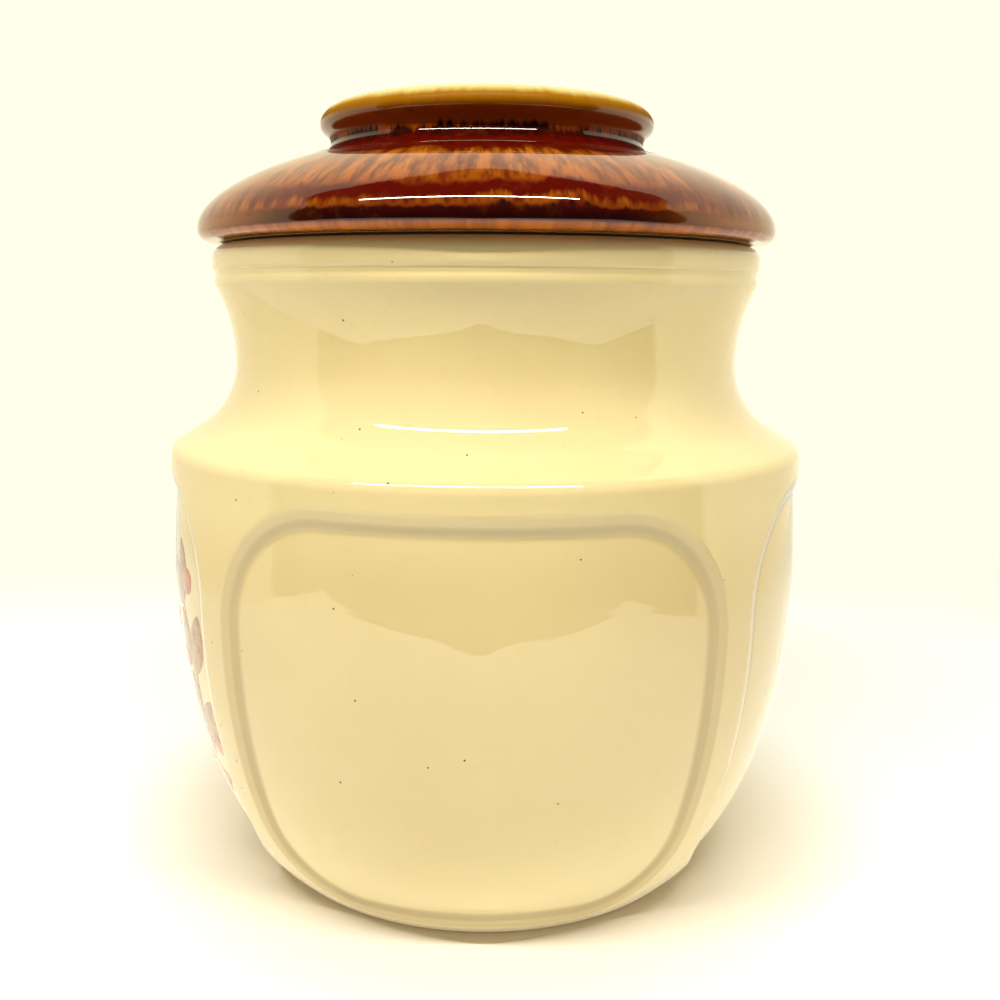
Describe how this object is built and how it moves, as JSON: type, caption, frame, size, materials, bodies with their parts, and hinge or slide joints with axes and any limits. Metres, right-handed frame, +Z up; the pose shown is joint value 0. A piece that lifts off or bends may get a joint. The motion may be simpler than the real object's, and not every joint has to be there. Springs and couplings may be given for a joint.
{
  "type": "cookie jar",
  "caption": "Glazed ceramic storage jar with sunk, cove-edged side panels, a waisted neck under a banded rim, and a low domed lift-off lid with a wide disc knob.",
  "frame": {"origin": "centre of the foot ring's underside, on the surface the jar stands on", "axes": "+Z up along the axis of the jar and lid; +X, +Y, -X and -Y each point out of the middle of a sunk panel, and the decorated panel faces -X"},
  "size_m": [0.2006, 0.2006, 0.2374],
  "materials": {
    "cream_glaze": "gloss",
    "brown_glaze": "gloss"
  },
  "bodies": {
    "jar_body": {"jar": "cream_glaze"},
    "lid_body": {"lid": "brown_glaze"}
  },
  "joints": [
    {"name": "lid_lift", "type": "slide", "parent": "jar_body", "child": "lid_body", "axis": [0, 0, 1], "range_m": [0, 0.12]}
  ]
}
